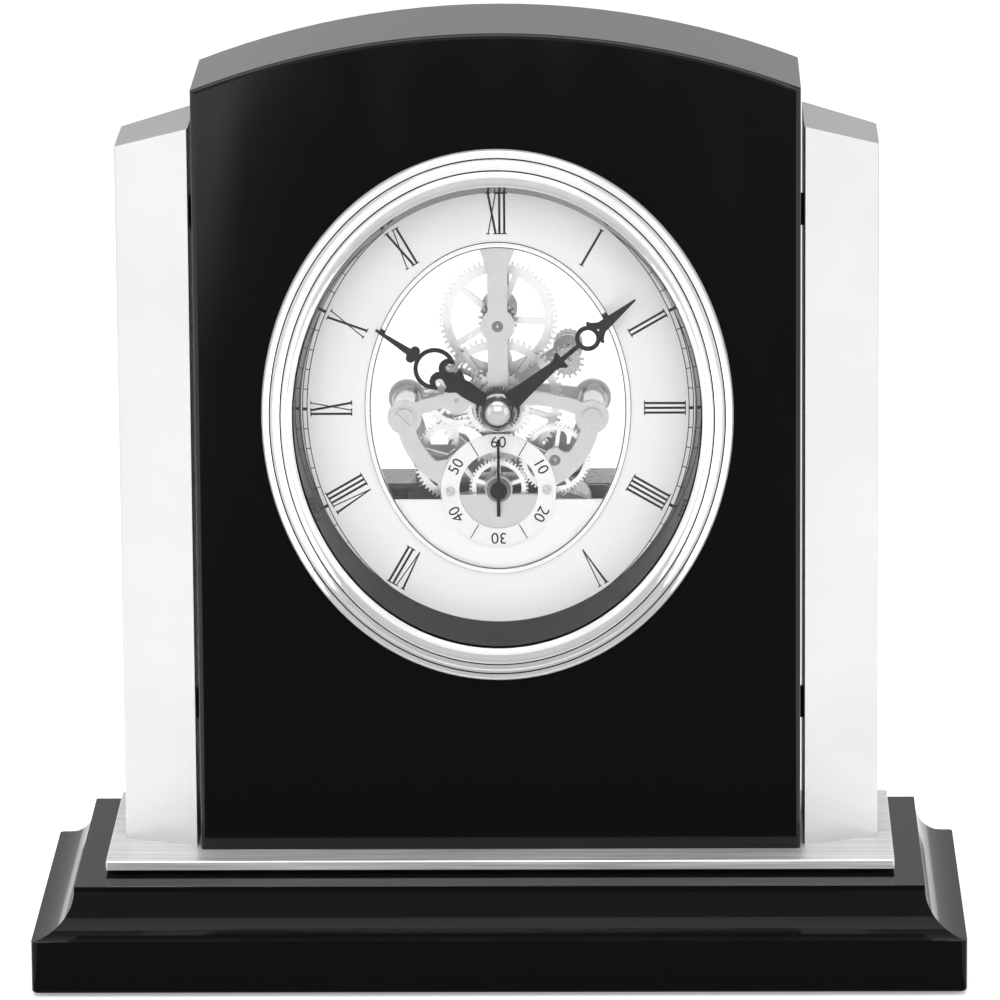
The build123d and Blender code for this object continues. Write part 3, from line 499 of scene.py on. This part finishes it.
NUMERAL_FOOT = (35.9 * MM, 43.6 * MM)
ROMAN = {12: "XII", 1: "I", 2: "II", 3: "III", 4: "IIII", 5: "V",
         7: "VII", 8: "VIII", 9: "IX", 10: "X", 11: "XI"}
for hour, word in ROMAN.items():
    angle = math.radians(hour * 30)
    sheet = open_print(f"numeral_{hour:02d}")
    left = CX - sum(WIDTHS[kind] for kind in word) / 2
    for kind in word:
        letter(kind, left, CZ + oval_radius(NUMERAL_FOOT, angle))
        left += WIDTHS[kind]
    swing(angle)
    close_print(sheet, DIAL_Y, ink)
print("printed", len(ROMAN), "numerals")

# %% [markdown]
# ### Minute track
#
# The track is a pair of hairline ovals joined by sixty short ticks, thicker at every fifth minute.
# The ovals are rounder than the opening, so the bezel covers the track above and below, and only the
# two sides are seen, as on the real clock.

# %% Track
TRACK_OUT, TRACK_IN = (48.0 * MM, 55.8 * MM), (46.9 * MM, 54.7 * MM)
LINE, FIFTH_TICK = 0.22 * MM, 0.75 * MM
centre_xz = (CX, CZ)
band_piece("track_outer", TRACK_OUT, LINE, centre_xz, DIAL_Y, ink)
band_piece("track_inner", TRACK_IN, LINE, centre_xz, DIAL_Y, ink)
sheet = open_print("track_ticks")
for minute in range(60):
    angle = math.radians(minute * 6)
    out = Vector((math.sin(angle), math.cos(angle)))
    low = Vector(centre_xz) + out * oval_radius(TRACK_IN, angle)
    high = Vector(centre_xz) + out * oval_radius(TRACK_OUT, angle)
    stroke(low, high, FIFTH_TICK if minute % 5 == 0 else LINE)
close_print(sheet, DIAL_Y, ink)
print("printed the minute track")

# %% [markdown]
# ### Seconds scale
#
# The small dial carries plain numbers every ten seconds and long ticks between them. The numbers are
# text made into meshes, each turned so that it reads from the centre, like the real print.

# %% Seconds print
TEXT_R, TEXT_SIZE = 12.0 * MM, 4.0 * MM
TICK_IN, TICK_OUT = 9.9 * MM, 14.0 * MM
BOSS_R, BOSS_WIDTH = 2.2 * MM, 0.95 * MM
SMALL_XZ = Vector((SECONDS_AT.x, SECONDS_AT.z))


def number_piece(value, angle):
    bpy.ops.object.select_all(action="DESELECT")
    bpy.ops.object.text_add()
    text = bpy.context.object
    text.name = f"second_{value}"
    text.data.body = str(value)
    text.data.align_x, text.data.align_y = "CENTER", "CENTER"
    text.data.size = TEXT_SIZE
    text.data.extrude = INK_T / 2
    bpy.ops.object.convert(target="MESH")
    piece = bpy.context.object
    stand = Matrix.Rotation(math.radians(90), 4, "X")
    spin = Matrix.Rotation(angle, 4, "Y")
    place = Matrix.Translation((SMALL_XZ.x + TEXT_R * math.sin(angle), SECONDS_Y - INK_T / 2,
                                SMALL_XZ.y + TEXT_R * math.cos(angle)))
    piece.data.transform(place @ spin @ stand)
    piece.data.materials.append(ink)
    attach(piece, "case")
    return piece


for value in (60, 10, 20, 30, 40, 50):
    number_piece(value, math.radians(value * 6))
sheet = open_print("second_ticks")
for value in (5, 25, 35, 55):
    angle = math.radians(value * 6)
    out = Vector((math.sin(angle), math.cos(angle)))
    stroke(SMALL_XZ + out * TICK_IN, SMALL_XZ + out * TICK_OUT, LINE)
close_print(sheet, SECONDS_Y, ink)
PLATE_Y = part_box("front_plate")[0][1]
band_piece("seconds_boss", (BOSS_R, BOSS_R), BOSS_WIDTH, SMALL_XZ, PLATE_Y - INK_T, seconds_white, 96)
print("printed the seconds scale")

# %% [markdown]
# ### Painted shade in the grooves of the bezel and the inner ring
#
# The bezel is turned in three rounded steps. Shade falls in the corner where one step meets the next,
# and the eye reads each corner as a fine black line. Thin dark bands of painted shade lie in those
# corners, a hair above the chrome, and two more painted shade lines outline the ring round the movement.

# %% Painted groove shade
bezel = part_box("bezel")
BEZEL_W, BEZEL_H = (bezel[1][0] - bezel[0][0]) / 2, (bezel[1][2] - bezel[0][2]) / 2
CASE_Y = bezel[0][1] + 5.0 * MM
# painted shade: black bands laid in the bezel's step corners, where the shade falls
for name, inset, height in (("groove_shade_outer", 2.2, 2.0), ("groove_shade_inner", 4.9, 3.6)):
    axes = (BEZEL_W - inset * MM, BEZEL_H - inset * MM)
    band_piece(name, axes, 0.3 * MM, centre_xz, CASE_Y - height * MM + 0.01 * MM, gloss_black)
# painted shade: two black lines outlining the ring round the movement
band_piece("rim_shade_line_outer", (RIM_W - 0.02 * MM, RIM_H - 0.02 * MM), 0.16 * MM, centre_xz, DIAL_Y, gloss_black)
band_piece("rim_shade_line_inner", (RIM_W - 1.32 * MM, RIM_H - 1.32 * MM), 0.24 * MM, centre_xz,
           rim[0][1] + 0.21 * MM, gloss_black)
print("laid the grooves on a bezel", round(BEZEL_W * 2000, 1), "mm wide")

# %% [markdown]
# ## Studio
#
# Black lacquer and chrome show the room, not themselves, so the room is built for them: a bright
# white sweep all round, one large soft panel above and a darker space in front, where the camera
# stands. The sides are lit so that the pillars glow and the front of the case stays black.

# %% Camera
camera_data = bpy.data.cameras.new("camera")
camera = bpy.data.objects.new("camera", camera_data)
bpy.context.scene.collection.objects.link(camera)
bpy.context.scene.camera = camera
camera_data.sensor_width = 36.0
camera_data.lens = 294.1
camera_data.clip_end = 20.0
CAMERA_AT = Vector((0.0384, -1.9759, 0.5587))
PITCH, YAW, ROLL = math.radians(-12.72), math.radians(1.11), math.radians(-0.42)
look = Matrix.Rotation(YAW, 4, "Z") @ Matrix.Rotation(math.pi / 2 + PITCH, 4, "X")
look = look @ Matrix.Rotation(ROLL, 4, "Z")
camera.matrix_world = Matrix.Translation(CAMERA_AT) @ look
print("camera at", tuple(round(v, 3) for v in CAMERA_AT))

# %% [markdown]
# ### Floor
#
# The clock stands on white paper. Paper lit only by the panels would come out grey, so it also glows
# a little. It lies a fifth of a millimetre below the felt pads, so the two never flicker together.

# %% Floor
bpy.ops.object.select_all(action="DESELECT")
bpy.ops.mesh.primitive_plane_add(size=6, location=(0, 0, -0.0002))
floor = bpy.context.object
floor.name = "studio_floor"
floor_white, nodes, links, shader = finish_of("studio_white", (0.92, 0.92, 0.92), 0.9, Specular_IOR_Level=0.1)
shader.inputs["Emission Color"].default_value = (1, 1, 1, 1)
shader.inputs["Emission Strength"].default_value = 0.35
floor.data.materials.append(floor_white)

# %% [markdown]
# ### Cards and panels
#
# In a studio, cards stand where only the reflections can see them. The dark card lies on the floor
# in front of the clock: the lacquer mirrors it, so the front of the case turns black while its edges
# and top still mirror the bright room. The card is hidden from the camera and casts no shadow.

# %% Cards and panels
def card(name, size, place, turn, grey, glow=0.0):
    bpy.ops.object.select_all(action="DESELECT")
    bpy.ops.mesh.primitive_plane_add(size=1, location=place, rotation=turn)
    sheet = bpy.context.object
    sheet.name = name
    sheet.scale = (size[0], size[1], 1)
    paint, _, _, shader = finish_of(name + "_paint", (grey, grey, grey), 1.0, Specular_IOR_Level=0.0)
    if glow:
        shader.inputs["Emission Color"].default_value = (1, 1, 1, 1)
        shader.inputs["Emission Strength"].default_value = glow
    sheet.data.materials.append(paint)
    for ray in ("camera", "diffuse", "transmission", "shadow"):
        setattr(sheet, "visible_" + ray, False)
    return sheet


def soft_panel(name, place, aim, size, power):
    light = bpy.data.lights.new(name, "AREA")
    light.shape = "RECTANGLE"
    light.size, light.size_y = size
    light.energy = power
    lamp = bpy.data.objects.new(name, light)
    bpy.context.scene.collection.objects.link(lamp)
    lamp.location = place
    lamp.rotation_euler = (Vector(aim) - Vector(place)).to_track_quat("-Z", "Y").to_euler()
    return lamp


clock_middle = (0, 0, 0.12)
card("dark_floor_card", (0.25, 1.5), (0, -0.8035, 0.0003), (0, 0, 0), 0.02)
soft_panel("panel_top", (0, -0.2, 1.4), clock_middle, (1.4, 1.0), 11)
soft_panel("panel_left", (-1.3, -0.9, 0.5), clock_middle, (0.7, 1.2), 2.7)
soft_panel("panel_right", (1.3, -0.9, 0.5), clock_middle, (0.7, 1.2), 2.6)
front = soft_panel("panel_front", (0, -1.5, 1.1), clock_middle, (1.2, 0.6), 13)
front.visible_glossy = False
print("cards and panels placed")

# %% [markdown]
# ### Room
#
# The room is plain white light. It could have one strength, but then either the background would be
# grey or the metals would wash out. A Light Path node gives what is seen directly, or through the
# glass, a brighter white than what lights and reflects in the clock.

# %% Room
world = bpy.data.worlds.new("studio")
bpy.context.scene.world = world
world.use_nodes = True
tree = world.node_tree
room = tree.nodes["Background"]
room.inputs["Color"].default_value = (1, 1, 1, 1)
room.inputs["Strength"].default_value = 0.62
seen = tree.nodes.new("ShaderNodeBackground")
seen.inputs["Color"].default_value = (1, 1, 1, 1)
seen.inputs["Strength"].default_value = 1.4
path = tree.nodes.new("ShaderNodeLightPath")
either = tree.nodes.new("ShaderNodeMath")
either.operation = "MAXIMUM"
blend = tree.nodes.new("ShaderNodeMixShader")
tree.links.new(path.outputs["Is Camera Ray"], either.inputs[0])
tree.links.new(path.outputs["Is Transmission Ray"], either.inputs[1])
tree.links.new(either.outputs[0], blend.inputs["Fac"])
tree.links.new(room.outputs[0], blend.inputs[1])
tree.links.new(seen.outputs[0], blend.inputs[2])
tree.links.new(blend.outputs[0], tree.nodes["World Output"].inputs["Surface"])
bpy.context.scene.view_settings.view_transform = "Standard"
print("studio ready")
